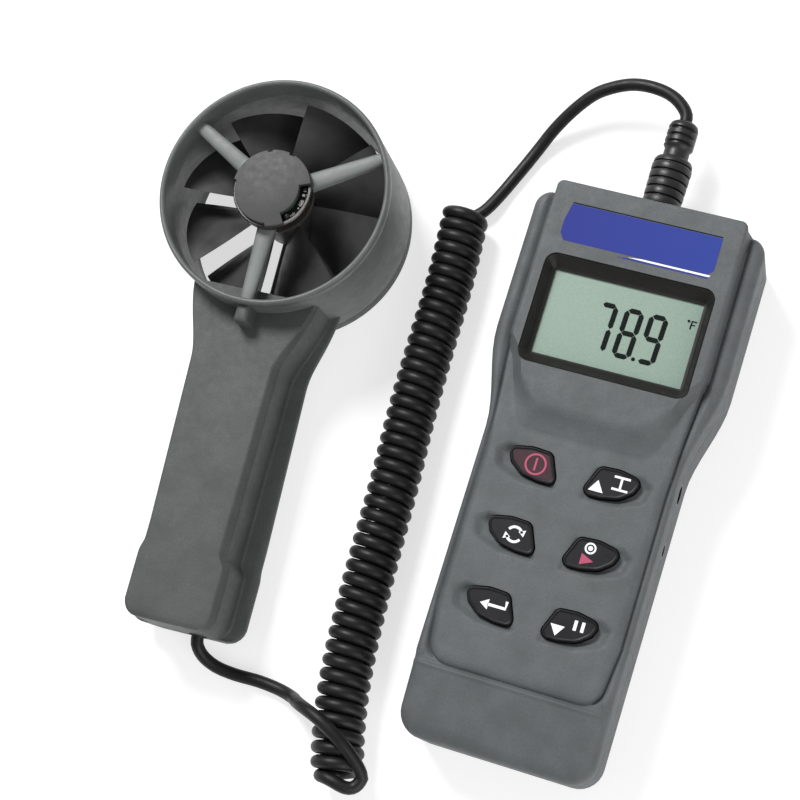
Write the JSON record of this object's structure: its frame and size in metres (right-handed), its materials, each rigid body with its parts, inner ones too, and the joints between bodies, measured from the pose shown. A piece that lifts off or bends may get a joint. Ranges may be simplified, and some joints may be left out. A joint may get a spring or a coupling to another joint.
{
  "type": "handheld weather meter",
  "caption": "Handheld vane anemometer: meter with display and keys, and a corded probe with a ring duct and impeller.",
  "frame": {"origin": "middle of the meter's flat back, on the surface that the meter and probe lie on", "axes": "+X across the meter to the right of its display, +Y along the meter to its head and probe socket, +Z out of the display"},
  "size_m": [0.192, 0.25, 0.0424],
  "materials": {
    "case_plastic": "fine textured",
    "probe_plastic": "fine textured",
    "name_band": "printed film",
    "bezel_plastic": "satin",
    "window_glass": "clear",
    "lcd_panel": "satin",
    "lcd_ink": "flat",
    "black_rubber": "matt",
    "key_rubber": "satin",
    "circuit_board": "solder mask",
    "black_plastic": "moulded",
    "steel": "plated",
    "battery_wrap": "satin",
    "spider_plastic": "moulded",
    "hub_black": "moulded",
    "cap_plastic": "moulded",
    "brass": "turned",
    "impeller_plastic": "moulded",
    "cord_jacket": "satin",
    "plug_plastic": "moulded"
  },
  "bodies": {
    "meter": {"front_case": "case_plastic", "rear_case": "case_plastic", "name_plate": "name_band", "display_bezel": "bezel_plastic", "display_window": "window_glass", "lcd_glass": "lcd_panel", "lcd_segments": "lcd_ink", "lcd_connectors": "black_rubber", "main_board": "circuit_board", "controller_chip": "black_plastic", "crystal": "steel", "buzzer": "black_plastic", "keypad_mat": "black_rubber", "probe_socket": "black_plastic", "power_jack": "black_plastic", "data_jack": "steel", "battery": "battery_wrap", "battery_snap": "black_plastic", "case_screws": "steel"},
    "power_key": {"key_power": "key_rubber"},
    "mode_key": {"key_mode": "key_rubber"},
    "enter_key": {"key_enter": "key_rubber"},
    "max_min_key": {"key_max_min": "key_rubber"},
    "record_key": {"key_record": "key_rubber"},
    "hold_key": {"key_hold": "key_rubber"},
    "battery_cover": {"battery_door": "case_plastic"},
    "probe": {"probe_front_shell": "probe_plastic", "probe_rear_shell": "probe_plastic", "front_spider": "spider_plastic", "sensor_housing": "hub_black", "hub_cap": "cap_plastic", "sensor_board": "circuit_board", "temperature_sensor": "black_plastic", "front_bearing": "brass", "rear_bearing": "brass", "rear_spider": "spider_plastic", "probe_screws": "steel", "cord_gland": "black_rubber", "cord_tail": "cord_jacket", "cord_coil": "cord_jacket", "cord_lead": "cord_jacket", "plug_barrel": "plug_plastic", "plug_boot": "plug_plastic", "plug_shell": "steel", "plug_pins": "brass"},
    "wheel": {"impeller": "impeller_plastic", "impeller_shaft": "steel", "pickup_magnet": "steel"}
  },
  "joints": [
    {"name": "power_key_press", "type": "slide", "parent": "meter", "child": "power_key", "axis": [0, 0, -1], "range_m": [0, 0.0008], "stiffness_N_per_m": 900},
    {"name": "mode_key_press", "type": "slide", "parent": "meter", "child": "mode_key", "axis": [0, 0, -1], "range_m": [0, 0.0008], "stiffness_N_per_m": 900},
    {"name": "enter_key_press", "type": "slide", "parent": "meter", "child": "enter_key", "axis": [0, 0, -1], "range_m": [0, 0.0008], "stiffness_N_per_m": 900},
    {"name": "max_min_key_press", "type": "slide", "parent": "meter", "child": "max_min_key", "axis": [0, 0, -1], "range_m": [0, 0.0008], "stiffness_N_per_m": 900},
    {"name": "record_key_press", "type": "slide", "parent": "meter", "child": "record_key", "axis": [0, 0, -1], "range_m": [0, 0.0008], "stiffness_N_per_m": 900},
    {"name": "hold_key_press", "type": "slide", "parent": "meter", "child": "hold_key", "axis": [0, 0, -1], "range_m": [0, 0.0008], "stiffness_N_per_m": 900},
    {"name": "battery_door_slide", "type": "slide", "parent": "meter", "child": "battery_cover", "axis": [0, -1, 0], "range_m": [0, 0.045]},
    {"name": "probe_unplug", "type": "slide", "parent": "meter", "child": "probe", "axis": [0, 1, 0], "range_m": [0, 0.012]},
    {"name": "impeller_spin", "type": "hinge", "parent": "probe", "child": "wheel", "pos_m": [-0.117, 0.0615, 0.02], "axis": [0, 0, 1], "continuous": true}
  ]
}
